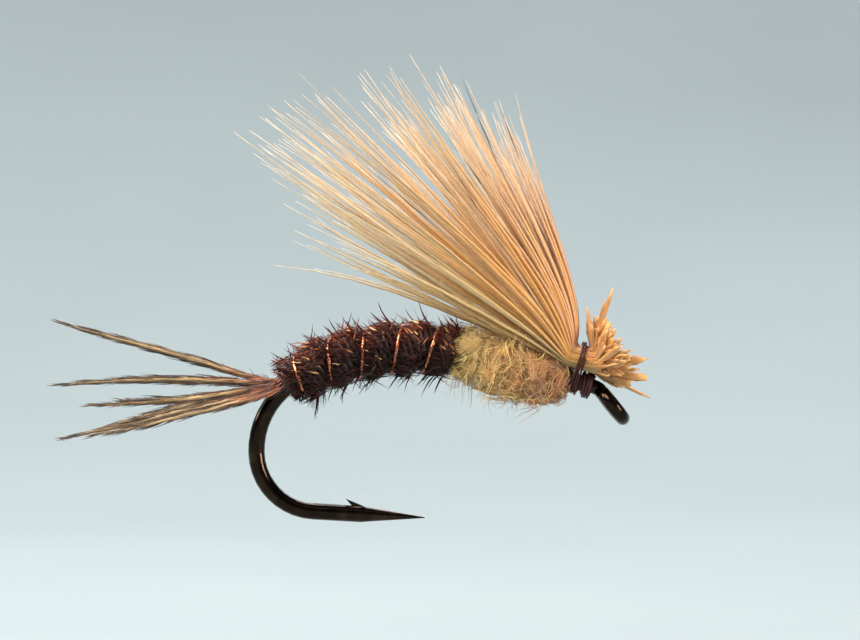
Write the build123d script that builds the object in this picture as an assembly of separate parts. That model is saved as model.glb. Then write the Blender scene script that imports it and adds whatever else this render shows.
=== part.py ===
from build123d import *
import math
import os
import random

# Dry fly tied on a size 12 curved-shank hook.  Millimetres and degrees.
# Origin: centre of the hook eye.  +X points forward past the eye, +Z up, Y across the hook.
# Everything tied to the hook is placed by "run", the distance along the wire's centreline,
# counted rearward from where the neck meets the eye.

# ---- hook ----
WIRE_R = 0.265
EYE_WIRE_R = 0.23
EYE_RING_R = 0.54                # centreline radius of the eye's ring
EYE_THROAT_R = 0.33
EYE_TILT = 51.0                  # the eye turns down this far below the horizontal
EYE_SEAM_W = 0.03                # slit where the end of the wire closes the ring
EYE_SEAM_ANGLE = 28.0            # round the ring from the neck
NECK_R = 0.524
NECK_CONE_L = 0.27
SHANK_RISE = 15.5                # the straight shank climbs rearward at this angle
SHANK_L = 3.0
BENDS = [(9.32, -14.4), (4.62, -42.2), (2.60, -91.8), (1.92, -176.8)]   # radius, heading after
SPEAR_L = 3.58
POINT_L = 2.05
POINT_TIP_R = 0.015
BARB_L = 0.62
BARB_STAND = 0.20                # barb tip above the wire's surface
BARB_BACK = 2.56                 # barb tip, back from the hook's point
BARB_W = 0.16
NOTCH_DEPTH = 0.08

# ---- tying thread ----
BASE_THREAD_R = 0.03
THREAD_R = 0.04
GAP = 0.006                      # clearance left between neighbouring strands
BASE_RUN = (0.66, 10.55)
BASE_TURNS = 20
TAIL_TIE_RUN = (10.27, 10.55)
TAIL_TIE_TURNS = 3.4
WHIP_RUN = (0.34, 0.68)
WHIP_TURNS = 4.0
WHIP_TOP_RUN = (0.38, 0.57)
WHIP_TOP_TURNS = 2.2

# ---- tail ----
TAIL_BARB_R = 0.055
TAIL_BUTT_RUN = 5.0              # the barbs' butts lie along the shank from here to the tie
TAIL_STEP = 20.0                 # angle between neighbouring barbs round the shank
# clump name, place round the shank (steps from the top), tip as X, Y, Z
TAIL_BARBS = [
    ("top_1", 0, (-17.95, -0.15, 2.72)),
    ("top_2", 1, (-17.00, 0.35, 2.40)),
    ("upper_1", -1, (-17.80, -0.55, 0.70)),
    ("upper_2", 2, (-17.25, 0.95, 0.82)),
    ("lower_1", -2, (-16.75, -0.85, 0.02)),
    ("lower_2", 3, (-15.90, 1.30, 0.20)),
    ("bottom_1", -3, (-17.50, -1.05, -1.05)),
    ("bottom_2", 4, (-16.90, 1.60, -0.75)),
    ("bottom_3", -4, (-16.60, -1.30, -0.98)),
]
TAIL_TIP_R = 0.018

# ---- abdomen and rib ----
ABDOMEN_RUN = (4.68, 10.22)
ABDOMEN_BARBS = 5
ABDOMEN_BARB_R = 0.078
ABDOMEN_TURNS = 5.85
ABDOMEN_SWELL = 0.07
RIB_R = 0.06
RIB_TURNS = 4.9
RIB_RUN = (4.76, 10.14)

# ---- thorax ----
THORAX_RUN = (1.72, 4.50)
THORAX_TURNS = 6.0
THORAX_END_R = 0.07              # the dubbed rope is thin at its ends, fat in the middle
THORAX_MID_R = 0.225

# ---- hair wing ----
HAIRS = 96
HAIRS_PER_LOCK = 8
LOCKS_ACROSS = 3
BAND_RUN = 0.95                  # middle of the wing's thread band
BAND_HALF_L = 0.14
BAND_TURNS = 2.6
BUNDLE_HALF_W = 0.96
BUNDLE_HALF_H = 0.40
HAIR_PITCH = 0.120
HAIR_BAND_R = 0.040              # squeezed by the thread
HAIR_FREE_R = 0.064
HAIR_BUTT_R = 0.058
HAIR_TIP_R = 0.014
WING_LENGTH = 12.3
WING_FRONT_CUT = 4.6             # the foremost hairs are shorter by this
WING_YAW = 24.0
WING_RUN_ON = 0.27               # the lowest hairs run on by twice this before they turn up
WING_RISE_FIRST = (79.0, 25.0)   # elevation at the band, and its change from mid height to top
WING_RISE_LAST = (43.0, 31.0)    # elevation at the tip, the same way
WING_TURN_L = 0.34
BUTT_LENGTH = 1.15
BUTT_YAW = 48.0
BUTT_RUN_ON = 0.25
BUTT_RISE = (34.0, 56.0)
BUTT_TURN_L = 0.30
TIE_THREAD_R = 0.034

BEND_SAMPLES = 10                # spline points in each turn of a winding


def smooth(t):
    """0 to 1 with level ends."""
    t = min(max(t, 0.0), 1.0)
    return t * t * (3 - 2 * t)


def hook_legs():
    """The centreline as legs: start point, start heading, length and radius (None if straight)."""
    tilt = math.radians(EYE_TILT)
    x, z = -EYE_RING_R * math.cos(tilt), EYE_RING_R * math.sin(tilt)
    heading = tilt
    legs = []
    plan = [(NECK_R, SHANK_RISE), (None, NECK_CONE_L + SHANK_L)] + BENDS + [(None, SPEAR_L)]
    for radius, value in plan:
        if radius is None:
            length, after = value, heading
            step = (-math.cos(heading) * length, math.sin(heading) * length)
        else:
            after = math.radians(value)
            length = radius * (heading - after)
            step = (radius * (math.sin(after) - math.sin(heading)),
                    radius * (math.cos(after) - math.cos(heading)))
        legs.append((x, z, heading, length, radius))
        x, z, heading = x + step[0], z + step[1], after
    return legs


LEGS = hook_legs()
WIRE_LENGTH = sum(leg[3] for leg in LEGS)


def station(run):
    """Point, rearward tangent and upward normal of the wire's centreline."""
    left = run
    for x, z, heading, length, radius in LEGS:
        if left <= length:
            break
        left -= length
    if radius is None:
        x, z = x - math.cos(heading) * left, z + math.sin(heading) * left
        now = heading
    else:
        now = heading - left / radius
        x += radius * (math.sin(now) - math.sin(heading))
        z += radius * (math.cos(now) - math.cos(heading))
    point = Vector(x, 0, z)
    return point, Vector(-math.cos(now), 0, math.sin(now)), Vector(math.sin(now), 0, math.cos(now))


def wire_between(start, end):
    """Centreline of the hook from one run to another, as lines and arcs."""
    edges = []
    done = 0.0
    for leg in LEGS:
        low, high = max(start, done), min(end, done + leg[3])
        done += leg[3]
        if high - low < 1e-6:
            continue
        ends = station(low)[0], station(high)[0]
        if leg[4] is None:
            edges.append(Edge.make_line(*ends))
        else:
            edges.append(Edge.make_three_point_arc(ends[0], station((low + high) / 2)[0], ends[1]))
    return Wire(edges)


def rod(path, radius):
    """A round strand of constant radius along a path."""
    section = Plane(origin=path @ 0, z_dir=path % 0) * Circle(radius)
    return sweep(section, path)


def tapered_strand(points, radii, span=1000):
    """A strand of changing radius: cones end to end through the points, lofted span by span."""
    rings = []
    across = Vector(0, 1, 0) if abs((points[1] - points[0]).normalized().Y) < 0.9 else Vector(1, 0, 0)
    for i, (point, radius) in enumerate(zip(points, radii)):
        before, after = points[max(i - 1, 0)], points[min(i + 1, len(points) - 1)]
        along = (after - before).normalized()
        across = (across - along * across.dot(along)).normalized()
        rings.append(Wire.make_circle(radius, Plane(origin=point, x_dir=across, z_dir=along)))
    spans = [Solid.make_loft(rings[i:i + span + 1], True) for i in range(0, len(rings) - 1, span)]
    return spans[0].fuse(*spans[1:]) if len(spans) > 1 else spans[0]


def winding_points(run, turns, radius_at, phase=0.0, samples=BEND_SAMPLES):
    """Points of a strand wound round the hook wire; negative turns wind the other way."""
    count = max(int(abs(turns) * samples), 4)
    points = []
    for i in range(count + 1):
        t = i / count
        centre, _, up = station(run[0] + (run[1] - run[0]) * t)
        angle = 2 * math.pi * turns * t + math.radians(phase)
        out = up * math.cos(angle) + Vector(0, 1, 0) * math.sin(angle)
        points.append(centre + out * radius_at(t))
    return points


def winding(run, turns, radius_at, strand_r, phase=0.0):
    """A strand of constant thickness wound round the hook wire."""
    return rod(Spline(*winding_points(run, turns, radius_at, phase)), strand_r)


# ---------------------------------------------------------------- hook

def eye_ring():
    """The eye's ring, in the plane of Y and the down-turned direction."""
    tilt = math.radians(EYE_TILT)
    normal = Vector(math.sin(tilt), 0, math.cos(tilt))
    towards_neck = Vector(-math.cos(tilt), 0, math.sin(tilt))
    plane = Plane(origin=(0, 0, 0), x_dir=towards_neck, z_dir=normal)
    ring = plane * Torus(EYE_RING_R, EYE_WIRE_R)
    throat = plane * Cylinder(EYE_THROAT_R, 4 * EYE_WIRE_R)
    cut = Box(2 * EYE_RING_R, EYE_SEAM_W, 4 * EYE_WIRE_R, align=(Align.MIN, Align.CENTER, Align.CENTER))
    seam = plane * (Rot(0, 0, EYE_SEAM_ANGLE) * Pos(EYE_THROAT_R / 2, 0, 0) * cut)
    return ring, throat, seam


def hook_neck():
    """The wire narrows ahead of the shank and turns down into the ring."""
    arc_end = LEGS[0][3]
    point, along, _ = station(arc_end)
    cone_end = station(arc_end + NECK_CONE_L)[0]
    across = Vector(0, 1, 0)
    cone = Solid.make_loft([
        Wire.make_circle(EYE_WIRE_R, Plane(origin=point, x_dir=across, z_dir=along)),
        Wire.make_circle(WIRE_R, Plane(origin=cone_end, x_dir=across, z_dir=along)),
    ], True)
    return rod(wire_between(0, arc_end), EYE_WIRE_R) + cone


def hook_point():
    """The needle point, straight on from the spear."""
    start, along, _ = station(WIRE_LENGTH - POINT_L)
    tip = station(WIRE_LENGTH)[0]
    across = Vector(0, 1, 0)
    return Solid.make_loft([
        Wire.make_circle(WIRE_R, Plane(origin=start, x_dir=across, z_dir=along)),
        Wire.make_circle(POINT_TIP_R, Plane(origin=tip, x_dir=across, z_dir=along)),
    ], True)


def barb_and_notch():
    """The barb is a sliver raised from the inside of the spear, with the notch it was cut from."""
    tip_at = WIRE_LENGTH - BARB_BACK
    root, along, outward = station(tip_at)
    inward = outward * -1 if outward.Z < 0 else outward
    surface = WIRE_R - 0.02
    profile = [
        root + inward * (WIRE_R + BARB_STAND),
        root + along * BARB_L + inward * surface,
        root + along * (BARB_L * 0.45) + inward * (surface - 0.05),
        root + along * (BARB_L * 0.30) + inward * (surface + 0.03),
    ]
    barb = extrude(make_face(Polyline(*profile, close=True)), BARB_W / 2, dir=(0, 1, 0), both=True)
    cut = [
        root + along * (BARB_L * 0.38) + inward * (WIRE_R + 0.2),
        root + along * (BARB_L * 0.38) + inward * (WIRE_R - NOTCH_DEPTH),
        root - along * (BARB_L * 0.35) + inward * (WIRE_R + 0.01),
        root - along * (BARB_L * 0.35) + inward * (WIRE_R + 0.2),
    ]
    notch = extrude(make_face(Polyline(*cut, close=True)), BARB_W / 2, dir=(0, 1, 0), both=True)
    return barb, notch


def hook():
    neck_end = LEGS[0][3] + NECK_CONE_L
    ring, throat, seam = eye_ring()
    barb, notch = barb_and_notch()
    wire = rod(wire_between(neck_end, WIRE_LENGTH - POINT_L), WIRE_R)
    return (wire + hook_point() - notch + barb) + (hook_neck() + ring - throat - seam)


# ---------------------------------------------------------------- thread, tail, body

def thread_underbody():
    level = WIRE_R + BASE_THREAD_R + GAP
    return winding(BASE_RUN, BASE_TURNS, lambda t: level, BASE_THREAD_R)


def tail_lie():
    """Distance of the tail barbs' centres from the centre of the wire."""
    return WIRE_R + 2 * BASE_THREAD_R + TAIL_BARB_R + 2 * GAP


def tail_tie_thread():
    level = tail_lie() + TAIL_BARB_R + THREAD_R + GAP
    return winding(TAIL_TIE_RUN, TAIL_TIE_TURNS, lambda t: level, THREAD_R, phase=90)


def tail_barb(place, tip):
    """One barb: its butt lies along the shank, then it springs clear of the bend to its tip."""
    angle = math.radians(place * TAIL_STEP)
    points = []
    butt_steps = 12
    for i in range(butt_steps + 1):
        run = TAIL_BUTT_RUN + (TAIL_TIE_RUN[1] + 0.08 - TAIL_BUTT_RUN) * i / butt_steps
        centre, along, up = station(run)
        out = up * math.cos(angle) + Vector(0, 1, 0) * math.sin(angle)
        points.append(centre + out * tail_lie())
    start, end = points[-1], Vector(*tip)
    reach = end - start
    control = [start, start + along * 0.22, start + reach * 0.42 - Vector(0, 0, 0.20), end]
    free_steps = 12
    for i in range(1, free_steps + 1):
        t = i / free_steps
        weights = ((1 - t) ** 3, 3 * t * (1 - t) ** 2, 3 * t * t * (1 - t), t ** 3)
        points.append(sum((c * w for c, w in zip(control, weights)), Vector(0, 0, 0)))
    thin = [smooth((i - butt_steps) / free_steps) for i in range(len(points))]
    radii = [TAIL_BARB_R + (TAIL_TIP_R - TAIL_BARB_R) * t for t in thin]
    return tapered_strand(points, radii)


def abdomen_level(t):
    """Distance of the abdomen barbs' centres from the wire's: a slight swell in the middle."""
    base = tail_lie() + TAIL_BARB_R + ABDOMEN_BARB_R + GAP
    return base + ABDOMEN_SWELL * math.sin(math.pi * t)


def abdomen_barb(index):
    phase = 360.0 * index / ABDOMEN_BARBS
    return winding(ABDOMEN_RUN, ABDOMEN_TURNS, abdomen_level, ABDOMEN_BARB_R, phase)


def rib_wire():
    """Copper wire wound the other way over the barbs."""
    clear = ABDOMEN_BARB_R + RIB_R + GAP
    return winding(RIB_RUN, -RIB_TURNS, lambda t: abdomen_level(t) + clear, RIB_R, phase=200)


def thorax_dubbing_rope():
    """Fur spun on thread into a rope and wound over the shank."""
    count = int(THORAX_TURNS * 12)
    inner = WIRE_R + 2 * BASE_THREAD_R + 2 * GAP
    fat = [THORAX_END_R + (THORAX_MID_R - THORAX_END_R) * math.sin(math.pi * i / count) ** 0.7
           for i in range(count + 1)]
    points = winding_points(THORAX_RUN, THORAX_TURNS, lambda t: inner + fat[round(t * count)],
                            phase=180, samples=12)
    return tapered_strand(points, fat, span=4)


# ---------------------------------------------------------------- hair wing

BUNDLE_LIFT = WIRE_R + 2 * BASE_THREAD_R + 4 * GAP + HAIR_BAND_R + BUNDLE_HALF_H


def bundle_centre():
    """Centre of the hair bundle inside its thread band."""
    centre, along, up = station(BAND_RUN)
    return centre + up * BUNDLE_LIFT, along, up


def hair_places():
    """Hexagonal packing of the hairs in the band: across and up, as fractions of the half sizes."""
    row_height = HAIR_PITCH * math.sqrt(3) / 2
    places = []
    for row in range(-8, 9):
        for column in range(-12, 13):
            across = (column + 0.5 * (row % 2)) * HAIR_PITCH / BUNDLE_HALF_W
            places.append((across, row * row_height / BUNDLE_HALF_H))
    places.sort(key=lambda p: (p[0] ** 2 + p[1] ** 2, p))
    return places[:HAIRS]


def direction(elevation, yaw, forward):
    """Unit vector at an elevation above the horizontal, turned sideways by yaw."""
    level = math.cos(math.radians(elevation))
    x = level * math.cos(math.radians(yaw)) * forward
    return Vector(x, level * math.sin(math.radians(yaw)), math.sin(math.radians(elevation)))


def grow(start, length, steps, heading_at):
    """Walk from a point along a changing heading; steps are short first, longer later."""
    points, walked = [start], 0.0
    for i in range(1, steps + 1):
        target = length * (i / steps) ** 1.6
        points.append(points[-1] + heading_at((walked + target) / 2) * (target - walked))
        walked = target
    return points


def wing_run_on(height):
    """Lower hairs run on behind the band before they rise, so that the fan doesn't jam."""
    return WING_RUN_ON * (1 - height) * (1.0 - 0.2 * (1 - height))


def wing_hair(across, height, wing_length, butt_length):
    """One hair, from its clipped butt, through the thread band, to its tip."""
    centre, along, up = bundle_centre()
    middle = centre + Vector(0, 1, 0) * (across * BUNDLE_HALF_W) + up * (height * BUNDLE_HALF_H)

    last_elevation = WING_RISE_LAST[0] + WING_RISE_LAST[1] * height
    first_elevation = WING_RISE_FIRST[0] + WING_RISE_FIRST[1] * height
    butt_elevation = BUTT_RISE[0] + BUTT_RISE[1] * height
    settle = 1.75 - 0.75 * height

    def wing_heading(walked):
        free = last_elevation + (first_elevation - last_elevation) * math.exp(-walked / settle)
        turn = smooth(walked / WING_TURN_L)
        elevation = SHANK_RISE + (free - SHANK_RISE) * turn
        return direction(elevation, WING_YAW * across * smooth(walked / 1.2), -1)

    def butt_heading(walked):
        elevation = -SHANK_RISE + (butt_elevation + SHANK_RISE) * smooth(walked / BUTT_TURN_L)
        return direction(elevation, BUTT_YAW * across * smooth(walked / 0.4), 1)

    rear = middle + along * (BAND_HALF_L + wing_run_on(height))
    front = middle - along * (BAND_HALF_L + BUTT_RUN_ON * (1 - height))
    wing = grow(rear, wing_length, 14, wing_heading)
    butt = grow(front, butt_length, 6, butt_heading)
    points = butt[::-1] + wing
    radii = []
    for i in range(len(butt)):
        radii.append(HAIR_BUTT_R + (HAIR_BAND_R - HAIR_BUTT_R) * smooth(i / (len(butt) - 1)))
    for i in range(len(wing)):
        t = (i / (len(wing) - 1)) ** 1.6
        full = HAIR_BAND_R + (HAIR_FREE_R - HAIR_BAND_R) * smooth(t * wing_length / 3.6)
        radii.append(full + (HAIR_TIP_R - full) * t ** 1.7)
    return tapered_strand(points, radii)


def wing_locks():
    """All hairs, sorted into locks of neighbours."""
    pick = random.Random(12)
    hairs = []
    for across, height in hair_places():
        shorter = WING_FRONT_CUT * max(0.0, (height - 0.3) / 0.7) ** 1.4
        wing_length = (WING_LENGTH - shorter) * (1.0 - 0.34 * pick.random() ** 1.6)
        butt_length = BUTT_LENGTH * pick.uniform(0.75, 1.3)
        if pick.random() < 0.08:
            butt_length *= 1.5
        hairs.append((across, height, wing_length, butt_length))
    hairs.sort(key=lambda h: (h[1], h[0]))
    layer = HAIRS_PER_LOCK * LOCKS_ACROSS
    locks = []
    for start in range(0, HAIRS, layer):
        row = sorted(hairs[start:start + layer])
        for first in range(0, layer, HAIRS_PER_LOCK):
            locks.append(row[first:first + HAIRS_PER_LOCK])
    return locks


def hair_lock(hairs):
    return Compound(children=[wing_hair(*hair) for hair in hairs])


def tight_loop(samples=28):
    """The taut outline round the hair bundle and the wire below it, in the band's own plane."""
    grow_by = TIE_THREAD_R + HAIR_BAND_R + 3 * GAP
    cloud = []
    for i in range(240):
        angle = 2 * math.pi * i / 240
        c, s = math.cos(angle), math.sin(angle)
        cloud.append(((BUNDLE_HALF_W + grow_by) * c, BUNDLE_LIFT + (BUNDLE_HALF_H + grow_by) * s))
        shank = WIRE_R + 2 * BASE_THREAD_R + 2 * GAP + TIE_THREAD_R
        cloud.append((shank * c, shank * s))
    cloud.sort()
    hull = []
    for points in (cloud, cloud[::-1]):
        chain = []
        for p in points:
            while len(chain) > 1 and turn_left(chain[-2], chain[-1], p) <= 0:
                chain.pop()
            chain.append(p)
        hull += chain[:-1]
    return even_points(hull, samples)


def turn_left(a, b, c):
    return (b[0] - a[0]) * (c[1] - a[1]) - (b[1] - a[1]) * (c[0] - a[0])


def even_points(loop, samples):
    """Points at even distances round a closed outline."""
    sides = [math.dist(loop[i], loop[(i + 1) % len(loop)]) for i in range(len(loop))]
    step, walked, side, out = sum(sides) / samples, 0.0, 0, []
    for i in range(samples):
        while walked + sides[side] < i * step:
            walked += sides[side]
            side += 1
        f = (i * step - walked) / sides[side]
        a, b = loop[side], loop[(side + 1) % len(loop)]
        out.append((a[0] + (b[0] - a[0]) * f, a[1] + (b[1] - a[1]) * f))
    return out


def wing_tie_thread():
    """Thread wraps that bind the hair bundle to the shank."""
    centre, along, up = station(BAND_RUN)
    loop = tight_loop()
    count = int(len(loop) * BAND_TURNS)
    points = []
    for i in range(count + 1):
        across, high = loop[i % len(loop)]
        shift = (2 * i / count - 1) * (BAND_HALF_L - TIE_THREAD_R)
        points.append(centre + along * shift + Vector(0, across, 0) + up * high)
    return tapered_strand(points, [TIE_THREAD_R] * len(points), span=4)


def whip_finish_thread():
    """Head wraps ahead of the wing: a first layer forward, a second layer back over it."""
    first = WIRE_R + THREAD_R + GAP
    second = first + 2 * THREAD_R + GAP
    layers = [winding(WHIP_RUN, WHIP_TURNS, lambda t: first, THREAD_R),
              winding(WHIP_TOP_RUN, WHIP_TOP_TURNS, lambda t: second, THREAD_R)]
    return Compound(children=layers)


def build():
    pieces = {
        "hook": hook(),
        "thread_underbody": thread_underbody(),
        "tail_tie_thread": tail_tie_thread(),
        "rib_wire": rib_wire(),
        "thorax_dubbing_rope": thorax_dubbing_rope(),
        "wing_tie_thread": wing_tie_thread(),
        "whip_finish_thread": whip_finish_thread(),
    }
    for name, place, tip in TAIL_BARBS:
        pieces[f"tail_barb_{name}"] = tail_barb(place, tip)
    for index in range(ABDOMEN_BARBS):
        pieces[f"abdomen_barb_{index + 1}"] = abdomen_barb(index)
    for index, hairs in enumerate(wing_locks()):
        pieces[f"wing_hair_lock_{index + 1:02d}"] = hair_lock(hairs)
    return pieces


os.makedirs("parts", exist_ok=True)
for node, shape in build().items():
    export_step(shape, f"parts/{node}.step")
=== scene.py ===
import math

import bpy
import numpy as np
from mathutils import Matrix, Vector


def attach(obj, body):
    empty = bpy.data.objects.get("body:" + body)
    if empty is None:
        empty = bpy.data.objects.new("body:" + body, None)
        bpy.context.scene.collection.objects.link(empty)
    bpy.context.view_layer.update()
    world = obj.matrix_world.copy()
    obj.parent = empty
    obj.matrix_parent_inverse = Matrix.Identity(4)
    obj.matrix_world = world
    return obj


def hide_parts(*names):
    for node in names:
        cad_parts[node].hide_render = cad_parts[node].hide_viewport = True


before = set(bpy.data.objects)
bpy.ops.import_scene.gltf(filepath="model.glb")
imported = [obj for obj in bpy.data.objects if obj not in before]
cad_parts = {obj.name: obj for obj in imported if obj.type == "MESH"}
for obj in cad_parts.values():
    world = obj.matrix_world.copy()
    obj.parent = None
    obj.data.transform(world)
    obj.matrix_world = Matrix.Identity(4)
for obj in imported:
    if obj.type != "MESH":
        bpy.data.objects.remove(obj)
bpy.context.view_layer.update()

# A dry fly: hair wing, feather tail and abdomen, copper rib and fur thorax on a curved-shank hook.
# Lengths here are millimetres and angles degrees; meshes are written in metres.
MM = 0.001
ACROSS = np.array([0.0, 1.0, 0.0])
UP = np.array([0.0, 0.0, 1.0])

# ---- the hook's centreline, as the CAD model has it; "run" is the distance back along it ----
EYE_RING_R = 0.54
EYE_TILT = 51.0
NECK_R = 0.524
SHANK_RISE = 15.5
STRAIGHT_L = 3.27
BENDS = [(9.32, -14.4), (4.62, -42.2), (2.60, -91.8), (1.92, -176.8)]
SPEAR_L = 3.58
SHANK_TOP = 0.337                # wire and thread base, from the wire's centre

# ---- what is tied on ----
TAIL_LIE = 0.392                 # level of the tail barbs under the abdomen
TAIL_ROOT_RUN = 10.30
TAIL_STEP = 20.0                 # degrees round the shank from one barb to the next
ABDOMEN_RUN = (4.62, 10.50)
ABDOMEN_TURNS = 6.2
ABDOMEN_BARBS = 5
ABDOMEN_LEVEL = 0.481            # outer level of the herl where the rib sinks it
ABDOMEN_SWELL = 0.07             # how much fuller it is halfway along
ABDOMEN_BEAD = 0.38              # how far it bulges between the rib's turns
RIB_RUN = (4.76, 10.14)
RIB_TURNS = -4.9
RIB_PHASE = 200.0
THORAX_RUN = (1.12, 5.02)
HEAD_RUN = (0.40, 1.26)
HEAD_TURNS = 15
HEAD_LEVEL = 0.355
BAND_RUN = 0.95
BAND_HALF_L = 0.08
BUNDLE_HALF_W = 0.96
BUNDLE_HALF_H = 0.40
BUNDLE_LIFT = 0.789
PACKED_SHARE = 0.92              # share of the bundle's section that the hair places fill
ROW_PITCH = 0.866                # between rows, as a share of the distance within a row
WING_LENGTH = 13.1
WING_FRONT_CUT = 5.2             # how much shorter the frontmost hairs are
WING_RISE_NEAR = (67.0, 47.0)    # rise just behind the band: middle of the wing and spread
WING_RISE_FAR = (49.0, 25.0)     # the same towards the tips
WING_YAW = 24.0
SIDE_FLARE = 52.0
STRAY_DROOP = 9.0                # extra droop of the three stray hairs at the rear
HAIR_FREE_R = (0.048, 0.080)
BUTT_LENGTH = 1.0
BUTT_RISE = (36.0, 60.0)         # rise of the butts: middle of the bundle and spread
BUTT_YAW = 60.0
LONG_UPPER_BUTTS = (2.2, 1.5, 1.8)
LONG_LOWER_BUTTS = (2.0, 1.7, 1.5)
SHORT_ENDS = 340
HAIR_LOCKS = 12
LOCKS_ACROSS = 3
HAIRS_PER_LOCK = 25
HAIR_BAND_R = 0.042
CLUMPS = 26                      # hairs gather in this many clumps at the tips


def srgb(red, green, blue):
    """A colour given as 0 to 255 screen values, as linear numbers."""
    c = np.array([red, green, blue]) / 255.0
    return np.where(c <= 0.04045, c / 12.92, ((c + 0.055) / 1.055) ** 2.4)


def smooth(t):
    """Eases from 0 to 1 as t does, and stays there."""
    t = np.clip(t, 0.0, 1.0)
    return t * t * (3 - 2 * t)


def unit(v):
    return v / np.maximum(np.linalg.norm(v, axis=-1, keepdims=True), 1e-12)


# ---------------------------------------------------------------- the hook's centreline

def hook_legs():
    """Legs of the centreline: start point, start heading, length and radius (None if straight)."""
    tilt = math.radians(EYE_TILT)
    x, z = -EYE_RING_R * math.cos(tilt), EYE_RING_R * math.sin(tilt)
    heading, legs = tilt, []
    for radius, value in [(NECK_R, SHANK_RISE), (None, STRAIGHT_L)] + BENDS + [(None, SPEAR_L)]:
        if radius is None:
            length, after = value, heading
            dx, dz = -math.cos(heading) * length, math.sin(heading) * length
        else:
            after = math.radians(value)
            length = radius * (heading - after)
            dx = radius * (math.sin(after) - math.sin(heading))
            dz = radius * (math.cos(after) - math.cos(heading))
        legs.append((x, z, heading, length, radius))
        x, z, heading = x + dx, z + dz, after
    return legs


LEGS = hook_legs()


def station(run):
    """Points, rearward tangents and upward normals of the centreline at an array of runs."""
    run = np.asarray(run, float)
    x, z, now = np.zeros_like(run), np.zeros_like(run), np.zeros_like(run)
    done = 0.0
    for i, (x0, z0, heading, length, radius) in enumerate(LEGS):
        last = i == len(LEGS) - 1
        here = (run >= done) if i else np.ones_like(run, bool)
        if not last:
            here &= run < done + length
        left = run - done
        if radius is None:
            angle = np.full_like(run, heading)
            px, pz = x0 - math.cos(heading) * left, z0 + math.sin(heading) * left
        else:
            angle = heading - left / radius
            px = x0 + radius * (np.sin(angle) - math.sin(heading))
            pz = z0 + radius * (np.cos(angle) - math.cos(heading))
        x, z, now = np.where(here, px, x), np.where(here, pz, z), np.where(here, angle, now)
        done += length
    flat = np.zeros_like(run)
    point = np.stack([x, flat, z], -1)
    along = np.stack([-np.cos(now), flat, np.sin(now)], -1)
    up = np.stack([np.sin(now), flat, np.cos(now)], -1)
    return point, along, up


def round_the_shank(run, angle, level):
    """Points at a distance from the centreline; the angle is in radians and 0 is on top."""
    centre, _, up = station(run)
    out = up * np.cos(angle)[..., None] + ACROSS * np.sin(angle)[..., None]
    return centre + out * np.asarray(level)[..., None]


# ---------------------------------------------------------------- strands as mesh

def frames(points):
    """Normals and binormals along every strand, turning as little as possible."""
    tangent = unit(np.gradient(points, axis=1))
    normal = np.empty_like(points)
    side = np.where(np.abs(tangent[:, 0, 1:2]) < 0.9, [[0.0, 1.0, 0.0]], [[1.0, 0.0, 0.0]])
    for i in range(points.shape[1]):
        side = unit(side - tangent[:, i] * np.sum(side * tangent[:, i], -1, keepdims=True))
        normal[:, i] = side
    return normal, np.cross(tangent, normal)


def strands(points, wide, thin, colour, sides, turn=None):
    """Closed tapering tubes: (vertices, faces as one corner list and their sizes, colours)."""
    count, length = points.shape[:2]
    normal, binormal = frames(points)
    if turn is not None:
        c, s = np.cos(turn)[:, None, None], np.sin(turn)[:, None, None]
        normal, binormal = normal * c + binormal * s, binormal * c - normal * s
    angle = 2 * np.pi * np.arange(sides) / sides
    ring = (wide[:, :, None, None] * np.cos(angle)[:, None] * normal[:, :, None]
            + thin[:, :, None, None] * np.sin(angle)[:, None] * binormal[:, :, None])
    verts = (points[:, :, None] + ring).reshape(-1, 3)
    tint = np.repeat(colour[:, :, None], sides, axis=2).reshape(-1, 3)
    base = (np.arange(count * length) * sides).reshape(count, length)
    j = np.arange(sides)
    a = base[:, :-1, None] + j
    b = base[:, :-1, None] + (j + 1) % sides
    quads = np.stack([a, b, b + sides, a + sides], -1).reshape(-1)
    start = (base[:, :1] + j[::-1]).reshape(-1)
    end = (base[:, -1:] + j).reshape(-1)
    corners = np.concatenate([quads, start, end])
    sizes = np.concatenate([np.full(len(quads) // 4, 4), np.full(2 * count, sides)])
    return verts, corners, sizes, tint


def join(parts):
    """Several sets of strands as one."""
    verts, corners, sizes, tints, offset = [], [], [], [], 0
    for v, c, s, t in parts:
        verts.append(v)
        corners.append(c + offset)
        sizes.append(s)
        tints.append(t)
        offset += len(v)
    return tuple(np.concatenate(x) for x in (verts, corners, sizes, tints))


def make_piece(name, data, material, replaces=()):
    """A mesh object that rides on the fly's only body."""
    verts, corners, sizes, tint = data
    mesh = bpy.data.meshes.new(name)
    mesh.vertices.add(len(verts))
    mesh.vertices.foreach_set("co", (verts * MM).astype(np.float32).ravel())
    mesh.loops.add(len(corners))
    mesh.loops.foreach_set("vertex_index", corners.astype(np.int32))
    mesh.polygons.add(len(sizes))
    starts = np.concatenate([[0], np.cumsum(sizes)[:-1]]).astype(np.int32)
    mesh.polygons.foreach_set("loop_start", starts)
    mesh.polygons.foreach_set("use_smooth", np.ones(len(sizes), bool))
    mesh.update(calc_edges=True)
    layer = mesh.color_attributes.new("tint", "FLOAT_COLOR", "POINT")
    rgba = np.concatenate([tint, np.ones((len(tint), 1))], 1).astype(np.float32)
    layer.data.foreach_set("color", rgba.ravel())
    piece = bpy.data.objects.new(name, mesh)
    bpy.context.scene.collection.objects.link(piece)
    mesh.materials.append(material)
    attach(piece, "root")
    if replaces:
        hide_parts(*replaces)


# ---------------------------------------------------------------- materials

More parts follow.
